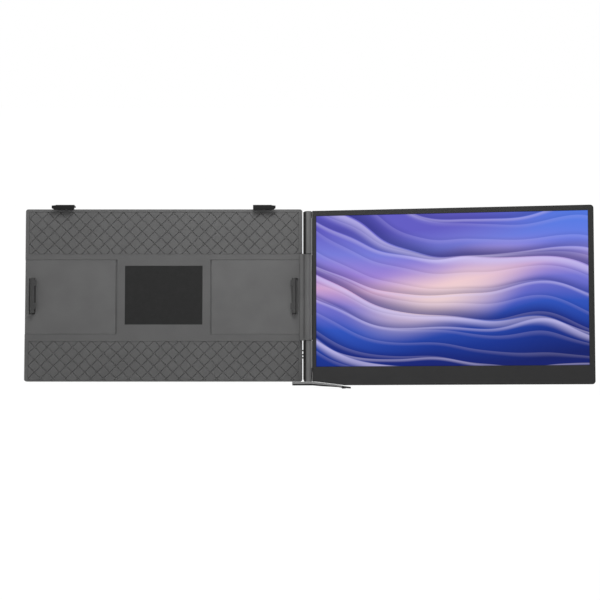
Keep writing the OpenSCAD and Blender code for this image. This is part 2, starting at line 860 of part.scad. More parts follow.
module chin_bosses(r, y0, y1) {
    for (x = chin_screw_x) rod_y(x, chin_screw_z, r, y0, y1);
}

module screen_bezel() {
    color([0.13, 0.13, 0.14]) in_screen() difference() {
        union() {
            slab(-screen_front, seam_y) screen_outline(rim_w);
            chin_bosses(chin_boss_r, seam_y - 0.5, deep_floor);
        }
        block(active_x0, active_x1, -screen_front - over, seam_y + over, active_z0, active_z1);
        block(lcd_x0, lcd_x1, lcd_y0, seam_y + over, lcd_z0, lcd_z1);
        chin_bosses(screw_r, seam_y + 0.5, deep_floor + over);
        block(cable_x0 - 1, cable_x0 + cable_w + 1, lcd_y0 + 0.2, seam_y + over, lcd_z0 - cable_drop - 1, lcd_z0 + over);
    }
}

module screen_shell() {
    color([0.16, 0.16, 0.17]) in_screen() difference() {
        union() {
            difference() {
                union() {
                    slab(rim_y, screen_rear) screen_outline(0);
                    intersection() {
                        slab(screen_rear - 0.5, deep_y) screen_outline(0);
                        block(house_x0, house_x1, screen_rear - 0.5, deep_y, house_z0, bulge_top);
                    }
                }
                slab(rim_y - over, seam_y) screen_outline(rim_w);
                block(house_x0 + shell_t, house_x1 - shell_t, seam_y - over, floor_y,
                    shell_t - leg_top + slope_gap, house_z1 - shell_t);
                block(heel_x, house_x1 - shell_t, seam_y - over, deep_floor,
                    house_z0 + shell_t, bulge_top - shell_t);
                block(house_x0 + shell_t, heel_x + 1, floor_y - over, deep_floor,
                    shell_t - leg_top + slope_gap, bulge_top - shell_t);
            }
            for (x = rib_x) {
                block(x, x + rib_t, back_y, floor_y + 0.5, bulge_top, house_z1 - shell_t);
                block(x, x + rib_t, back_y, deep_floor + 0.5, lcd_z0 + 6, bulge_top);
            }
            for (x = [board_x0 + 4, board_x1 - 12], z = [board_z0 + 4, board_z1 - 4])
                rod_y(x, z, 2, board_y1, deep_floor + 0.5);
            block(knuckle_lip_x, house_x0 + shell_t, knuckle_lip_y, screen_rear, knuckle_lo, knuckle_hi);
        }
        block(house_x0 - over, house_x0 + shell_t + over, tongue_y, floor_y, upper_tongue[0], upper_tongue[1]);
        block(house_x0 - over, house_x0 + shell_t + over, tongue_y, deep_floor, lower_tongue[0], lower_tongue[1]);
        tongue_screw_holes(upper_tongue, floor_y - over, screen_rear + over, screw_r);
        tongue_screw_holes(upper_tongue, screen_rear - screw_head_t, screen_rear + over, screw_head_r + head_gap);
        tongue_screw_holes(lower_tongue, deep_floor - over, deep_y + over, screw_r);
        tongue_screw_holes(lower_tongue, deep_y - screw_head_t, deep_y + over, screw_head_r + head_gap);
        chin_bosses(screw_r, deep_floor - over, deep_y + over);
        chin_bosses(screw_head_r + head_gap, deep_y - screw_head_t, deep_y + over);
        for (z = usb_z) port_hole(z, usb_w);
        port_hole(hdmi_z, hdmi_w);
    }
}

module port_hole(z, w) {
    beam(house_x1 - shell_t - over, house_x1 + over) obround(board_y1, board_y1 + port_h, z - w / 2, z + w / 2);
}

// Socket with a contact tongue inside.
module port(z, w) {
    difference() {
        beam(port_x1 - port_l, port_x1) obround(board_y1, board_y1 + port_h, z - w / 2, z + w / 2);
        beam(port_x1 - port_l + 1, port_x1 + over) obround(board_y1 + port_wall, board_y1 + port_h - port_wall,
            z - w / 2 + port_wall, z + w / 2 - port_wall);
    }
    block(port_x1 - port_l + 0.5, port_x1 - 1, port_y - 0.35, port_y + 0.35, z - w / 2 + 1.3, z + w / 2 - 1.3);
}

module display_panel() {
    color([0.35, 0.4, 0.75]) in_screen() block(lcd_x0, lcd_x1, lcd_y0, lcd_y1, lcd_z0, lcd_z1);
}

module backlight_unit() {
    color([0.85, 0.86, 0.88]) in_screen() difference() {
        block(lcd_x0 + 0.4, lcd_x1 - 0.4, lcd_y1, back_y, lcd_z0 + 0.4, lcd_z1 - 0.4);
        for (k = [0.34, 0.6]) block(k * lcd_x1, (k + 0.08) * lcd_x1, back_y - 0.4, back_y + over,
            lcd_z0 + 0.42 * (lcd_z1 - lcd_z0), lcd_z0 + 0.69 * (lcd_z1 - lcd_z0));
    }
}

// Chip or plug on the board, placed by shares of the board's width and height.
module chip(u0, u1, v0, v1, t) {
    block(board_x0 + u0 * board_w, board_x0 + u1 * board_w, board_y1 - 0.1, board_y1 + t,
        board_z0 + v0 * board_h, board_z0 + v1 * board_h);
}

module driver_board() {
    color([0.1, 0.35, 0.2]) in_screen() {
        block(board_x0, board_x1, tongue_y, board_y1, board_z0, board_z1);
        chip(0.22, 0.5, 0.58, 0.72, 1);
        chip(0.28, 0.45, 0.2, 0.32, 1.4);
        chip(0.22, 0.78, 0.81, 0.87, 0.9);
    }
}

module usb_ports() {
    color([0.7, 0.7, 0.72]) in_screen() for (z = usb_z) port(z, usb_w);
}

module hdmi_port() {
    color([0.7, 0.7, 0.72]) in_screen() port(hdmi_z, hdmi_w);
}

module panel_cable() {
    x1 = cable_x0 + cable_w;
    low = lcd_z0 - cable_drop;
    color([0.75, 0.5, 0.2]) in_screen() {
        block(cable_x0, x1, lcd_y0 + 0.4, lcd_y0 + 0.4 + cable_t, low, lcd_z0);
        block(cable_x0, x1, lcd_y0 + 0.4, tongue_y, low - cable_t, low);
        block(cable_x0, x1, tongue_y - cable_t, tongue_y, low - 4, low);
    }
}

module key_board() {
    color([0.1, 0.35, 0.2]) in_screen() {
        block(switch_x0 + switch_t, key_pcb_x1, -cavity_half + 0.3, cavity_half - 0.3, cavity_z0, cavity_z1 - 0.5);
        for (z = key_z) block(switch_x0, switch_x0 + switch_t + 0.1, -1.2, 1.2, z - 1.2, z + 1.2);
    }
}

module barrel_screws() {
    color([0.15, 0.15, 0.16]) in_screen() {
        for (z = [upper_tongue[0] + 8, upper_tongue[1] - 8]) screw(tongue_screw_x, z, tongue_y + 0.3, screen_rear);
        for (z = [lower_tongue[0] + 8, lower_tongue[1] - 8]) screw(tongue_screw_x, z, tongue_y + 0.3, deep_y);
    }
}

module chin_screws() {
    color([0.15, 0.15, 0.16]) in_screen() for (x = chin_screw_x) screw(x, chin_screw_z, seam_y + 1, deep_y);
}

module key(z) {
    x1 = key_wall_x + 0.1 + key_flange_t;
    block(-barrel_r - key_out, x1 - key_flange_t / 2, -key_w / 2, key_w / 2, z - key_h / 2, z + key_h / 2);
    block(key_wall_x + 0.1, x1, -key_w / 2 - key_flange_lap, key_w / 2 + key_flange_lap,
        z - key_flange_h / 2, z + key_flange_h / 2);
}

module power_key() {
    color([0.08, 0.08, 0.08]) in_screen() key(key_z[0]);
}

module plus_key() {
    color([0.08, 0.08, 0.08]) in_screen() key(key_z[1]);
}

module minus_key() {
    color([0.08, 0.08, 0.08]) in_screen() key(key_z[2]);
}

// Side view of the leg: level under the barrel, then sloping down beside the screen's cut corner.
module leg_side() {
    polygon([
        [-leg_tail, -leg_top],
        [leg_neck, -leg_top],
        [leg_knee, knee_z],
        [heel_x, heel_z],
        [heel_x, heel_z - leg_t + pad_strip_thin],
        [leg_knee, knee_z - leg_slim],
        [leg_neck - 3, -leg_top - leg_t],
        [-leg_tail, -leg_top - leg_t]
    ]);
}

// Side view of the rubber boot, as thick as the leg and its strip.
module boot_side() {
    tip_z = heel_z - tip_drop;
    polygon([
        [leg_knee, knee_z],
        [heel_x, heel_z],
        [leg_len, tip_z],
        [leg_len, tip_z - tip_t],
        [heel_x, heel_z - leg_t],
        [leg_knee, knee_z - leg_slim - pad_strip_thin]
    ]);
}

// Thin end of the leg that the rubber boot is pushed on.
module leg_core() {
    z0 = core_z + core_fall * (heel_x - boot_x + over);
    z1 = core_z - core_fall * (leg_len - core_end - heel_x);
    slab(-leg_w / 4, leg_w / 4) polygon([
        [boot_x - over, z0 - core_t / 2],
        [leg_len - core_end, z1 - core_t / 2],
        [leg_len - core_end, z1 + core_t / 2],
        [boot_x - over, z0 + core_t / 2]
    ]);
}

module leg_plan() {
    rounded(-leg_tail, leg_len, -leg_w / 2, leg_w / 2, leg_w / 2 - 0.4);
}

module leg() {
    color([0.36, 0.37, 0.39]) in_screen() difference() {
        union() {
            intersection() {
                slab(-leg_w / 2, leg_w / 2) leg_side();
                column(heel_z - 10, 0) leg_plan();
                block(-leg_tail - over, boot_x, -leg_w, leg_w, heel_z - 10, 0);
            }
            leg_core();
        }
        rod_z(leg_pin_r + pin_fit, -leg_top - 5, -leg_top + over);
        translate([0, 0, -leg_top - leg_t]) rod_z(leg_pin_head + 0.3, -over, 1.1);
    }
}

module leg_strip() {
    low = -leg_top - leg_t - pad_strip_t;
    slope = (knee_z - leg_slim + leg_top + leg_t) / (leg_knee - leg_neck + 3);
    end_slope = (heel_z - leg_t + pad_strip_thin - knee_z + leg_slim) / (heel_x - leg_knee);
    end_x = boot_x - 0.2;
    end_z = knee_z - leg_slim + end_slope * (end_x - leg_knee);
    color([0.07, 0.07, 0.07]) in_screen() difference() {
        intersection() {
            slab(-leg_w / 2 + 0.6, leg_w / 2 - 0.6) polygon([
                [0.6 - leg_tail, -leg_top - leg_t],
                [leg_neck - 3, -leg_top - leg_t],
                [leg_knee, knee_z - leg_slim],
                [end_x, end_z],
                [end_x, end_z - pad_strip_thin],
                [leg_knee, knee_z - leg_slim - pad_strip_thin],
                [pad_strip_x1, low + slope * (pad_strip_x1 - leg_neck + 3)],
                [leg_neck - 3, low],
                [0.6 - leg_tail, low]
            ]);
            column(heel_z - 10, 0) leg_plan();
        }
        rod_z(leg_pin_head + 0.3, low - 1, -leg_top);
    }
}

module leg_foot() {
    z0 = heel_z - leg_t - foot_h;
    color([0.07, 0.07, 0.07]) in_screen() difference() {
        union() {
            intersection() {
                slab(-leg_w / 2, leg_w / 2) boot_side();
                column(heel_z - 10, 0) leg_plan();
                block(boot_x, leg_len + over, -leg_w, leg_w, heel_z - 10, 0);
            }
            translate([heel_x, 0, 0]) rod_z(foot_r, z0, heel_z - leg_t + 0.5);
        }
        leg_core();
    }
}

module leg_washer() {
    color([0.75, 0.75, 0.77]) in_screen() difference() {
        rod_z(barrel_r - 0.8, -leg_top + leg_washer_gap, lower_barrel_z0);
        rod_z(leg_pin_r, -leg_top - over, lower_barrel_z0 + over);
    }
}

module leg_pin() {
    color([0.75, 0.75, 0.77]) in_screen() {
        rod_z(leg_pin_r, -leg_top - leg_t, lower_barrel_z0 + leg_pin_in);
        rod_z(leg_pin_head, -leg_top - leg_t - 0.2, -leg_top - leg_t + 1);
    }
}

front_panel();
rear_cover();
grip_upper();
grip_lower();
lid_pad();
upper_rail();
lower_rail();
cover_screws();
spring_anchor();
left_arm();
left_jaw();
left_jaw_liner();
left_jaw_screws();
left_arm_spring();
right_arm();
right_jaw();
right_jaw_liner();
right_jaw_screws();
right_arm_spring();
knuckle_bushes();
left_hook();
left_hook_pad();
left_hook_guide();
left_hook_spring();
right_hook();
right_hook_pad();
right_hook_guide();
right_hook_spring();
upper_barrel();
lower_barrel();
barrel_cap();
upper_pin();
lower_pin();
hinge_washers();
screen_bezel();
screen_shell();
display_panel();
backlight_unit();
driver_board();
usb_ports();
hdmi_port();
panel_cable();
key_board();
barrel_screws();
chin_screws();
power_key();
plus_key();
minus_key();
leg();
leg_strip();
leg_foot();
leg_washer();
leg_pin();
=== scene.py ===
import math
import bpy
from mathutils import Matrix, Vector


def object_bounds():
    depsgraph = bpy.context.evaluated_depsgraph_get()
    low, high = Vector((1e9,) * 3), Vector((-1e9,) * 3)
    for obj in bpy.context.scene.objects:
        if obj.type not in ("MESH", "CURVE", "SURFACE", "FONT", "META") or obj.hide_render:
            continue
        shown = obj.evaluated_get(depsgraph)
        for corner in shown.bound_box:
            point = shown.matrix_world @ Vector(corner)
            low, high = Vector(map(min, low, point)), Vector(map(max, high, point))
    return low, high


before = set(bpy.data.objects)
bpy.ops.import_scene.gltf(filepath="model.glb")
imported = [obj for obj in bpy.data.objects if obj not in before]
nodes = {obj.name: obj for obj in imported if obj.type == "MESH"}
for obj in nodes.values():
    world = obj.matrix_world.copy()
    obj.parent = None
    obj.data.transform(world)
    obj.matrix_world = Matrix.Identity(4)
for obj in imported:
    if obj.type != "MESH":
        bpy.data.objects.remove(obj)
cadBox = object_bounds()
scene = bpy.context.scene
print("frame loaded:", len(nodes), "nodes")

# The bracket leans back, and the screen turns about an upright axis at its right edge. Lengths are in metres.
bracketSeat = dict(lean=math.radians(12), hingeX=0.186, hingeY=-0.0126, screenTurn=math.radians(10.4))
leanCos, leanSin = math.cos(bracketSeat["lean"]), math.sin(bracketSeat["lean"])
turnCos, turnSin = math.cos(bracketSeat["screenTurn"]), math.sin(bracketSeat["screenTurn"])


def onBracket(x, y, z):
    return Vector((x, y * leanCos + z * leanSin, -y * leanSin + z * leanCos))


def onScreen(x, y, z):
    return onBracket(bracketSeat["hingeX"] + x * turnCos + y * turnSin,
                     bracketSeat["hingeY"] - x * turnSin + y * turnCos, z)


hingePoint = onScreen(0, 0, 0)
alongScreen = onScreen(1, 0, 0) - hingePoint
upScreen = onScreen(0, 0, 1) - hingePoint

# The camera looks square on to the bracket, from a little below; aim is a point on the bracket's front.
cameraSetup = dict(lens=101.95, sensor=36.0, distance=2.18945, below=math.radians(4.13),
                   aim=(0.1757, 0, -0.00632), nearest=0.05, farthest=40)
lookLean = bracketSeat["lean"] - cameraSetup["below"]
lookForward = Vector((0, math.cos(lookLean), -math.sin(lookLean)))
lookUp = Vector((0, math.sin(lookLean), math.cos(lookLean)))
cameraData = bpy.data.cameras.new("camera")
cameraData.lens = cameraSetup["lens"]
cameraData.sensor_width = cameraSetup["sensor"]
cameraData.clip_start = cameraSetup["nearest"]
cameraData.clip_end = cameraSetup["farthest"]
cameraObject = bpy.data.objects.new("camera", cameraData)
scene.collection.objects.link(cameraObject)
cameraTurn = Matrix((Vector((1, 0, 0)), lookUp, -lookForward)).transposed().to_4x4()
cameraPlace = onBracket(*cameraSetup["aim"]) - lookForward * cameraSetup["distance"]
cameraObject.matrix_world = Matrix.Translation(cameraPlace) @ cameraTurn
scene.camera = cameraObject
scene.view_settings.view_transform = "Standard"
print("camera placed")


# small helpers for node trees
def tone(*levels):
    # screen levels 0 to 255 as a linear colour, by the usual screen curve; one level makes a grey
    if len(levels) == 1:
        levels = levels * 3
    shares = [level / 255 for level in levels]
    return tuple(s / 12.92 if s <= 0.04045 else ((s + 0.055) / 1.055) ** 2.4 for s in shares) + (1.0,)


def addNode(tree, kind, **values):
    made = tree.nodes.new(kind)
    for key, value in values.items():
        setattr(made, key, value)
    return made


def feed(tree, socket, value):
    if isinstance(value, bpy.types.NodeSocket):
        tree.links.new(value, socket)
    elif value is not None:
        socket.default_value = value


def calc(tree, operation, a, b=None, c=None, clamp=False):
    made = addNode(tree, "ShaderNodeMath", operation=operation, use_clamp=clamp)
    for socket, value in zip(made.inputs, (a, b, c)):
        feed(tree, socket, value)
    return made.outputs[0]


def along(tree, point, direction, start=0.0):
    made = addNode(tree, "ShaderNodeVectorMath", operation="DOT_PRODUCT")
    tree.links.new(point, made.inputs[0])
    made.inputs[1].default_value = direction
    return calc(tree, "SUBTRACT", made.outputs["Value"], start)


def remap(tree, value, low, high, newLow, newHigh, smooth=False):
    made = addNode(tree, "ShaderNodeMapRange", interpolation_type="SMOOTHSTEP" if smooth else "LINEAR")
    for socket, item in zip(made.inputs, (value, low, high, newLow, newHigh)):
        feed(tree, socket, item)
    return made.outputs[0]


def uneven(tree, value, newLow, newHigh):
    # a noise mostly stays between 0.3 and 0.7
    return remap(tree, value, 0.3, 0.7, newLow, newHigh)


def ramp(tree, value, stops):
    made = addNode(tree, "ShaderNodeValToRGB")
    elements = made.color_ramp.elements
    while len(elements) < len(stops):
        elements.new(0.5)
    for element, (place, colour) in zip(elements, stops):
        element.position = place
        element.color = colour
    tree.links.new(value, made.inputs[0])
    return made.outputs[0]


def mixed(tree, share, first, second):
    made = addNode(tree, "ShaderNodeMix", data_type="RGBA")
    feed(tree, made.inputs[0], share)
    feed(tree, made.inputs[6], first)
    feed(tree, made.inputs[7], second)
    return made.outputs[2]


def noise(tree, point, scale, detail, roughness=0.5):
    made = addNode(tree, "ShaderNodeTexNoise")
    tree.links.new(point, made.inputs["Vector"])
    made.inputs["Scale"].default_value = scale
    made.inputs["Detail"].default_value = detail
    made.inputs["Roughness"].default_value = roughness
    return made.outputs[0]


def startMaterial(name):
    material = bpy.data.materials.new(name)
    material.use_nodes = True
    tree = material.node_tree
    shader = tree.nodes["Principled BSDF"]
    point = addNode(tree, "ShaderNodeTexCoord").outputs["Object"]
    return material, tree, shader, point


def softEdges(tree, radius):
    made = addNode(tree, "ShaderNodeBevel", samples=4)
    made.inputs["Radius"].default_value = radius
    return made.outputs[0]


def edgeShare(tree, rounded, strength):
    # strength on the edges, 0 on flat faces
    flat = addNode(tree, "ShaderNodeNewGeometry").outputs["Normal"]
    made = addNode(tree, "ShaderNodeVectorMath", operation="DOT_PRODUCT")
    tree.links.new(rounded, made.inputs[0])
    tree.links.new(flat, made.inputs[1])
    return remap(tree, made.outputs["Value"], 0.999, 0.9, 0.0, strength)


def bumped(tree, shader, height, strength, depth, edge=None):
    made = addNode(tree, "ShaderNodeBump")
    made.inputs["Strength"].default_value = strength
    made.inputs["Distance"].default_value = depth
    tree.links.new(height, made.inputs["Height"])
    if edge is not None:
        tree.links.new(edge, made.inputs["Normal"])
    tree.links.new(made.outputs[0], shader.inputs["Normal"])


def seenDirect(tree):
    # 1 for what the camera sees, straight or in a mirror or glass; 0 for light that falls on the object
    rays = addNode(tree, "ShaderNodeLightPath").outputs
    straight = calc(tree, "ADD", rays["Is Camera Ray"], rays["Is Glossy Ray"])
    return calc(tree, "ADD", straight, rays["Is Transmission Ray"], clamp=True)


# Moulded plastic is a little cloudy, with a fine grain that holds dirt.
plasticSurface = dict(cloud=26, grainShare=0.12, grainTone=tone(18), grainDepth=0.00012,
                      smoother=0.05, rougher=0.06)


def mouldedPlastic(name, look):
    material, tree, shader, point = startMaterial(name)
    surface = plasticSurface
    cloud = noise(tree, point, surface["cloud"], 3)
    grain = noise(tree, point, look["grain"], 2)
    rounded = softEdges(tree, look["edge"])
    body = mixed(tree, uneven(tree, cloud, 0, 1), look["dark"], look["light"])
    worn = mixed(tree, edgeShare(tree, rounded, look["wear"]), body, look["worn"])
    specks = remap(tree, grain, 0.35, 0.65, 0, surface["grainShare"])
    feed(tree, shader.inputs["Base Color"], mixed(tree, specks, worn, surface["grainTone"]))
    feed(tree, shader.inputs["Roughness"],
         uneven(tree, cloud, look["rough"] - surface["smoother"], look["rough"] + surface["rougher"]))
    shader.inputs["Specular IOR Level"].default_value = look["gloss"]
    bumped(tree, shader, grain, look["bump"], surface["grainDepth"], rounded)
    return material


# Anodised aluminium is bead blasted. Its painted highlight and painted shade strips along the hinge fade over
# the widths given here.
anodisedSurface = dict(cloud=34, blast=3800, bump=0.12, blastDepth=0.00006, smoother=0.06, rougher=0.08,
                       cutFadeIn=0.0004, cutFadeOut=0.0002, paintedShadeFade=0.0013)


def anodised(name, look):
    material, tree, shader, point = startMaterial(name)
    surface = anodisedSurface
    cloud = noise(tree, point, surface["cloud"], 2)
    blast = noise(tree, point, surface["blast"], 1)
    rounded = softEdges(tree, look["edge"])
    body = mixed(tree, uneven(tree, cloud, 0, 1), look["dark"], look["light"])
    colour = mixed(tree, edgeShare(tree, rounded, look["wear"]), body, look["worn"])
    if "cut" in look:
        # bright strip to the right of the hinge's axis: a painted highlight on the right flank
        aside = along(tree, point, (1, 0, 0), hingePoint.x)
        past = remap(tree, aside, look["cutStart"], look["cutStart"] + surface["cutFadeIn"], 0, 1)
        before = remap(tree, aside, look["cutEnd"], look["cutEnd"] - surface["cutFadeOut"], 0, 1)
        colour = mixed(tree, calc(tree, "MINIMUM", past, before), colour, look["cut"])
    if "paintedShade" in look:
        # dark strip on the side that faces the bracket: painted shade on the barrel's left flank
        aside = along(tree, point, (1, 0, 0), hingePoint.x)
        dark = remap(tree, aside, look["paintedShadeEdge"], look["paintedShadeEdge"] - surface["paintedShadeFade"], 0, 1)
        colour = mixed(tree, dark, colour, look["paintedShade"])
    feed(tree, shader.inputs["Base Color"], colour)
    feed(tree, shader.inputs["Roughness"],
         uneven(tree, blast, look["rough"] - surface["smoother"], look["rough"] + surface["rougher"]))
    shader.inputs["Metallic"].default_value = look["metal"]
    shader.inputs["Specular IOR Level"].default_value = look["gloss"]
    bumped(tree, shader, blast, surface["bump"], surface["blastDepth"], rounded)
    return material


# Rubber is matt, with fine pores and some dust.
rubberSurface = dict(dust=90, pores=1900, smooth=0.72, rough=0.9, gloss=0.3, bump=0.3, poreDepth=0.0002,
                     edge=0.0003)


def rubber(name, look):
    material, tree, shader, point = startMaterial(name)
    surface = rubberSurface
    dust = noise(tree, point, surface["dust"], 4, 0.6)
    pores = noise(tree, point, surface["pores"], 3)
    dusty = remap(tree, dust, 0.4, 0.75, 0, 1)
    feed(tree, shader.inputs["Base Color"], mixed(tree, dusty, look["dark"], look["light"]))
    feed(tree, shader.inputs["Roughness"], uneven(tree, dust, surface["smooth"], surface["rough"]))
    shader.inputs["Specular IOR Level"].default_value = surface["gloss"]
    bumped(tree, shader, pores, surface["bump"], surface["poreDepth"], softEdges(tree, surface["edge"]))
    return material


# Plain metal shows drawing lines, stretched by the look's brush.
metalSurface = dict(lines=700, span=0.08, bump=0.15, lineDepth=0.00005, edge=0.0002)


def plainMetal(name, look):
    material, tree, shader, point = startMaterial(name)
    surface = metalSurface
    streak = addNode(tree, "ShaderNodeMapping")
    tree.links.new(point, streak.inputs["Vector"])
    streak.inputs["Scale"].default_value = look["brush"]
    lines = noise(tree, streak.outputs[0], surface["lines"], 3)
    feed(tree, shader.inputs["Base Color"], mixed(tree, lines, look["dark"], look["light"]))
    feed(tree, shader.inputs["Roughness"],
         uneven(tree, lines, look["rough"] - surface["span"], look["rough"] + surface["span"]))
    shader.inputs["Metallic"].default_value = 1.0
    bumped(tree, shader, lines, surface["bump"], surface["lineDepth"], softEdges(tree, surface["edge"]))
    return material


def dress(names, material):
    for name in names:
        for place in nodes[name].material_slots:
            place.material = material


# bracket
bracketLook = dict(dark=tone(92), light=tone(99), worn=tone(118), wear=0.5, rough=0.5, gloss=0.4,
                   grain=2600, bump=0.22, edge=0.0005)
dress(["front_panel"], mouldedPlastic("bracketPlastic", bracketLook))
gripLook = dict(dark=tone(94), light=tone(102), worn=tone(116), wear=0.35, rough=0.56, gloss=0.35,
                grain=1800, bump=0.3, edge=0.00025)
dress(["grip_upper", "grip_lower"], mouldedPlastic("gripPlastic", gripLook))
coverLook = dict(dark=tone(80), light=tone(87), worn=tone(104), wear=0.5, rough=0.52, gloss=0.4,
                 grain=2200, bump=0.3, edge=0.0006)
dress(["rear_cover"], mouldedPlastic("coverPlastic", coverLook))
padLook = dict(dark=tone(30), light=tone(44))
dress(["lid_pad", "left_jaw_liner", "right_jaw_liner", "left_hook_pad", "right_hook_pad"],
      rubber("padRubber", padLook))
print("bracket dressed")

# arms, jaws and hooks
# the bright strip on the knuckle's right flank is a painted highlight
armLook = dict(dark=tone(92), light=tone(99), worn=tone(124), wear=0.5, rough=0.46, metal=0.15, gloss=0.4,
               edge=0.0003, cut=tone(154), cutStart=0.0033, cutEnd=0.0049)
dress(["left_arm", "right_arm"], anodised("armAluminium", armLook))
jawLook = dict(dark=tone(50), light=tone(58), worn=tone(80), wear=0.6, rough=0.48, gloss=0.4,
               grain=2600, bump=0.2, edge=0.0006)
dress(["left_jaw", "right_jaw"], mouldedPlastic("jawPlastic", jawLook))
hookLook = dict(dark=tone(8), light=tone(12), worn=tone(40), wear=0.6, rough=0.5, gloss=0.18,
                grain=2400, bump=0.2, edge=0.0005)
dress(["left_hook", "right_hook"], mouldedPlastic("hookPlastic", hookLook))
steelLook = dict(dark=tone(150), light=tone(190), rough=0.32, brush=(1, 1, 0.05))
dress(["upper_rail", "lower_rail", "spring_anchor", "left_jaw_screws", "right_jaw_screws",
       "left_arm_spring", "right_arm_spring", "left_hook_guide", "right_hook_guide",
       "left_hook_spring", "right_hook_spring", "upper_pin", "lower_pin", "leg_washer", "leg_pin",
       "usb_ports", "hdmi_port"], plainMetal("plainSteel", steelLook))
bronzeLook = dict(dark=tone(150, 118, 66), light=tone(196, 160, 98), rough=0.35, brush=(1, 1, 1))
dress(["knuckle_bushes"], plainMetal("bushBronze", bronzeLook))
print("arms and hooks dressed")

# hinge, keys and leg
# the barrels' dark strip on the side facing the bracket is painted shade; their bright strip right of the
# axis is a painted highlight
barrelLook = dict(dark=tone(97), light=tone(104), worn=tone(130), wear=0.6, rough=0.4, metal=0.25, gloss=0.4,
                  edge=0.0004, paintedShade=tone(12), paintedShadeEdge=-0.0018,
                  cut=tone(118), cutStart=0.0036, cutEnd=0.007)
dress(["upper_barrel", "lower_barrel"], anodised("barrelAluminium", barrelLook))
capLook = dict(dark=tone(60), light=tone(68), worn=tone(96), wear=0.5, rough=0.45, gloss=0.45,
               grain=2600, bump=0.15, edge=0.0004)
dress(["barrel_cap"], mouldedPlastic("capPlastic", capLook))
keyLook = dict(dark=tone(26), light=tone(32), worn=tone(58), wear=0.6, rough=0.4, gloss=0.5,
               grain=3000, bump=0.12, edge=0.0003)
dress(["power_key", "plus_key", "minus_key"], mouldedPlastic("keyPlastic", keyLook))
legLook = dict(dark=tone(129), light=tone(139), worn=tone(168), wear=0.5, rough=0.38, metal=0.4, gloss=0.4,
               edge=0.0005)
dress(["leg"], anodised("legAluminium", legLook))
# the dark rubber strip along the leg's lower edge also stands in for the shade on the leg's unseen underside,
# as painted shade; the foot and the washers are plain rubber
rubberAndStripShadeLook = dict(dark=tone(34), light=tone(50))
dress(["leg_strip", "leg_foot", "hinge_washers"], rubber("rubberAndStripShade", rubberAndStripShadeLook))
print("hinge and leg dressed")

# screen housing
bezelLook = dict(dark=tone(57), light=tone(60), worn=tone(62), wear=0.4, rough=0.6, gloss=0.12,
                 grain=3000, bump=0.16, edge=0.0003)
dress(["screen_bezel"], mouldedPlastic("bezelPlastic", bezelLook))
shellLook = dict(dark=tone(30), light=tone(36), worn=tone(54), wear=0.5, rough=0.5, gloss=0.35,
                 grain=2300, bump=0.3, edge=0.0006)
dress(["screen_shell"], mouldedPlastic("shellPlastic", shellLook))
screwLook = dict(dark=tone(40), light=tone(58), rough=0.4, brush=(1, 1, 1))
dress(["cover_screws", "barrel_screws", "chin_screws"], plainMetal("blackSteel", screwLook))
boardLook = dict(dark=tone(18, 74, 42), light=tone(28, 96, 58), worn=tone(60, 120, 80), wear=0.3,
                 rough=0.35, gloss=0.5, grain=1200, bump=0.1, edge=0.0002)
dress(["driver_board", "key_board"], mouldedPlastic("boardLacquer", boardLook))
cableLook = dict(dark=tone(170, 116, 40), light=tone(190, 132, 50), worn=tone(200, 150, 80), wear=0.3,
                 rough=0.4, gloss=0.5, grain=1200, bump=0.05, edge=0.0002)
dress(["panel_cable"], mouldedPlastic("cableFilm", cableLook))
lightGuideLook = dict(dark=tone(226), light=tone(234), worn=tone(240), wear=0.2, rough=0.4, gloss=0.4,
                      grain=1200, bump=0.05, edge=0.0002)
dress(["backlight_unit"], mouldedPlastic("lightGuide", lightGuideLook))
print("screen housing dressed")

# The lit picture: broad ribbons of silk across a soft sky of blue, violet and peach.
# left and low are its lower left corner on the screen. Places in it are in picture heights.
wallpaperLook = dict(
    left=0.0108, low=-0.0930, width=0.3442, height=0.1936, margin=0.004, rim=tone(10),
    base=[(0.0, tone(6, 26, 104)), (0.16, tone(14, 48, 144)), (0.34, tone(42, 80, 186)),
          (0.50, tone(118, 112, 204)), (0.62, tone(206, 162, 206)), (0.72, tone(156, 128, 212)),
          (0.86, tone(118, 122, 216)), (1.0, tone(96, 90, 194))],
    baseBend=0.55,
    waves=[dict(often=2.1, start=0.7, height=0.17), dict(often=4.6, start=2.0, height=0.05)],
    driftScale=5, drift=0.11,
    cool=tone(60, 120, 232), coolAcross=(0.9, 1.8), coolUpward=(0.45, 0.9), coolShare=0.7,
    glow=tone(255, 224, 210), glowAcross=0.84, glowUpward=0.60, glowNarrow=1.05, glowFlat=2.4,
    glowReach=0.8, glowShare=0.75,
    ribbons=[dict(often=2.3, tilt=0.42, start=0.15, crestWidth=0.16, crest=0.52, trough=0.66),
             dict(often=3.9, tilt=0.30, start=0.62, crestWidth=0.12, crest=0.30, trough=0.40),
             dict(often=9.0, tilt=0.36, start=0.33, crestWidth=0.30, crest=0.10, trough=0.14)],
    crest=tone(214, 206, 250), trough=tone(10, 24, 112), troughWidth=0.25,
    glass=tone(12), rough=0.4, gloss=0.08, grain=5000, bump=0.05, grainDepth=0.00003,
)
look = wallpaperLook
material, tree, shader, point = startMaterial("litPicture")
leftEdge = hingePoint.dot(alongScreen) + look["left"]
lowEdge = hingePoint.dot(upScreen) + look["low"]
across = calc(tree, "DIVIDE", along(tree, point, alongScreen, leftEdge), look["height"])
upward = calc(tree, "DIVIDE", along(tree, point, upScreen, lowEdge), look["height"])

bend = remap(tree, noise(tree, point, look["driftScale"], 1), 0.2, 0.8, -look["drift"], look["drift"], True)
for wave in look["waves"]:
    turn = calc(tree, "MULTIPLY_ADD", across, wave["often"], wave["start"])
    bend = calc(tree, "MULTIPLY_ADD", calc(tree, "SINE", turn), wave["height"], bend)
flow = calc(tree, "ADD", upward, bend)
picture = ramp(tree, calc(tree, "MULTIPLY_ADD", bend, look["baseBend"], upward), look["base"])

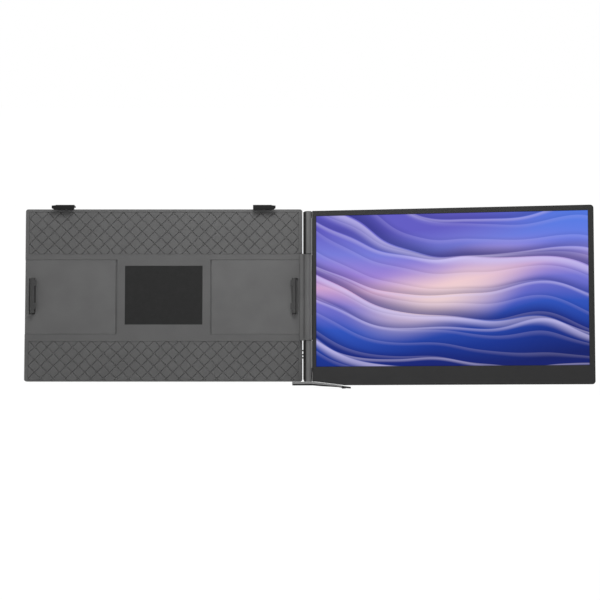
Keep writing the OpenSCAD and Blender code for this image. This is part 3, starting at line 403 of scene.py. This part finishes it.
# cooler towards the upper right, with a warm glow in the middle
farRight = remap(tree, across, *look["coolAcross"], 0.0, look["coolShare"], True)
farUp = remap(tree, upward, *look["coolUpward"], 0.0, 1.0, True)
picture = mixed(tree, calc(tree, "MULTIPLY", farRight, farUp), picture, look["cool"])
offMiddle = calc(tree, "MULTIPLY", calc(tree, "SUBTRACT", across, look["glowAcross"]), look["glowNarrow"])
offHeight = calc(tree, "MULTIPLY", calc(tree, "SUBTRACT", flow, look["glowUpward"]), look["glowFlat"])
offSquared = calc(tree, "MULTIPLY_ADD", offMiddle, offMiddle, calc(tree, "MULTIPLY", offHeight, offHeight))
glowing = remap(tree, calc(tree, "SQRT", offSquared), look["glowReach"], 0.0, 0.0, look["glowShare"], True)
picture = mixed(tree, glowing, picture, look["glow"])

for ribbon in look["ribbons"]:
    slope = calc(tree, "MULTIPLY_ADD", across, ribbon["tilt"], flow)
    turn = calc(tree, "FRACT", calc(tree, "MULTIPLY_ADD", slope, ribbon["often"], ribbon["start"]))
    # each ribbon falls slowly into shade below its bright crest, which ends short of the next one
    shade = remap(tree, turn, look["troughWidth"], 0.0, 0.0, ribbon["trough"], True)
    rise = remap(tree, turn, 1.0 - ribbon["crestWidth"], 0.97, 0.0, ribbon["crest"], True)
    fall = remap(tree, turn, 0.995, 0.975, 0.0, 1.0, True)
    picture = mixed(tree, shade, picture, look["trough"])
    picture = mixed(tree, calc(tree, "MULTIPLY", rise, fall), picture, look["crest"])

# a thin dark rim on all four sides
inside = calc(tree, "MINIMUM", across, upward)
inside = calc(tree, "MINIMUM", inside, calc(tree, "SUBTRACT", look["width"] / look["height"], across))
inside = calc(tree, "MINIMUM", inside, calc(tree, "SUBTRACT", 1.0, upward))
picture = mixed(tree, remap(tree, inside, 0.0, look["margin"], 0.0, 1.0), look["rim"], picture)
tree.links.new(picture, shader.inputs["Emission Color"])
shader.inputs["Emission Strength"].default_value = 1.0
shader.inputs["Base Color"].default_value = look["glass"]
shader.inputs["Roughness"].default_value = look["rough"]
shader.inputs["Specular IOR Level"].default_value = look["gloss"]
bumped(tree, shader, noise(tree, point, look["grain"], 1), look["bump"], look["grainDepth"])
dress(["display_panel"], material)
print("picture made")

# floor at the object's lowest point: white to the camera, matt paper to the light
floorLook = dict(half=14.0, tint=tone(240), fibreTint=tone(242), fibre=40, smooth=0.85, rough=0.95,
                 glow=0.92, level=1.065)
half, low = floorLook["half"], cadBox[0].z
floorMesh = bpy.data.meshes.new("floor")
floorMesh.from_pydata([(-half, -half, low), (half, -half, low), (half, half, low), (-half, half, low)],
                      [], [(0, 1, 2, 3)])
floor = bpy.data.objects.new("floor", floorMesh)
scene.collection.objects.link(floor)
material, tree, shader, point = startMaterial("floorPaper")
fibre = noise(tree, point, floorLook["fibre"], 3)
feed(tree, shader.inputs["Base Color"], mixed(tree, fibre, floorLook["tint"], floorLook["fibreTint"]))
feed(tree, shader.inputs["Roughness"], uneven(tree, fibre, floorLook["smooth"], floorLook["rough"]))
glow = addNode(tree, "ShaderNodeEmission")
glow.inputs["Color"].default_value = (1, 1, 1, 1)
glow.inputs["Strength"].default_value = floorLook["level"]
both = addNode(tree, "ShaderNodeMixShader")
feed(tree, both.inputs[0], calc(tree, "MULTIPLY", seenDirect(tree), floorLook["glow"]))
tree.links.new(shader.outputs[0], both.inputs[1])
tree.links.new(glow.outputs[0], both.inputs[2])
tree.links.new(both.outputs[0], tree.nodes["Material Output"].inputs["Surface"])
floor.data.materials.append(material)

# white sky behind everything; as light it is dim, and a little stronger from above
skyLook = dict(base=0.13, top=0.22, horizon=-0.2)
world = bpy.data.worlds.new("studio")
scene.world = world
world.use_nodes = True
tree = world.node_tree
height = along(tree, addNode(tree, "ShaderNodeTexCoord").outputs["Generated"], (0, 0, 1))
risen = remap(tree, height, skyLook["horizon"], 1.0, 0.0, 1.0)
level = addNode(tree, "ShaderNodeMix", data_type="FLOAT")
feed(tree, level.inputs[0], seenDirect(tree))
feed(tree, level.inputs[2], calc(tree, "MULTIPLY_ADD", risen, skyLook["top"], skyLook["base"]))
level.inputs[3].default_value = 1.0
back = tree.nodes["Background"]
back.inputs["Color"].default_value = (1, 1, 1, 1)
tree.links.new(level.outputs[0], back.inputs["Strength"])

lamps = [
    dict(name="frontTop", place=(0.12, -0.42, 0.70), aim=(0.17, 0, 0.02), size=0.4, power=3.8),
    dict(name="frontFill", place=(0.35, -2.4, 0.6), aim=(0.2, 0, 0), size=1.6, power=2.5),
    dict(name="backFill", place=(0.1, 1.8, 1.3), aim=(0.2, 0, 0), size=1.4, power=15.0),
]
for lamp in lamps:
    lampData = bpy.data.lights.new(lamp["name"], "AREA")
    lampData.shape = "DISK"
    lampData.size = lamp["size"]
    lampData.energy = lamp["power"]
    lampObject = bpy.data.objects.new(lamp["name"], lampData)
    lampObject.location = lamp["place"]
    lampObject.rotation_mode = "QUATERNION"
    lampAim = Vector(lamp["aim"]) - Vector(lamp["place"])
    lampObject.rotation_quaternion = lampAim.to_track_quat("-Z", "Y")
    scene.collection.objects.link(lampObject)
print("lit")
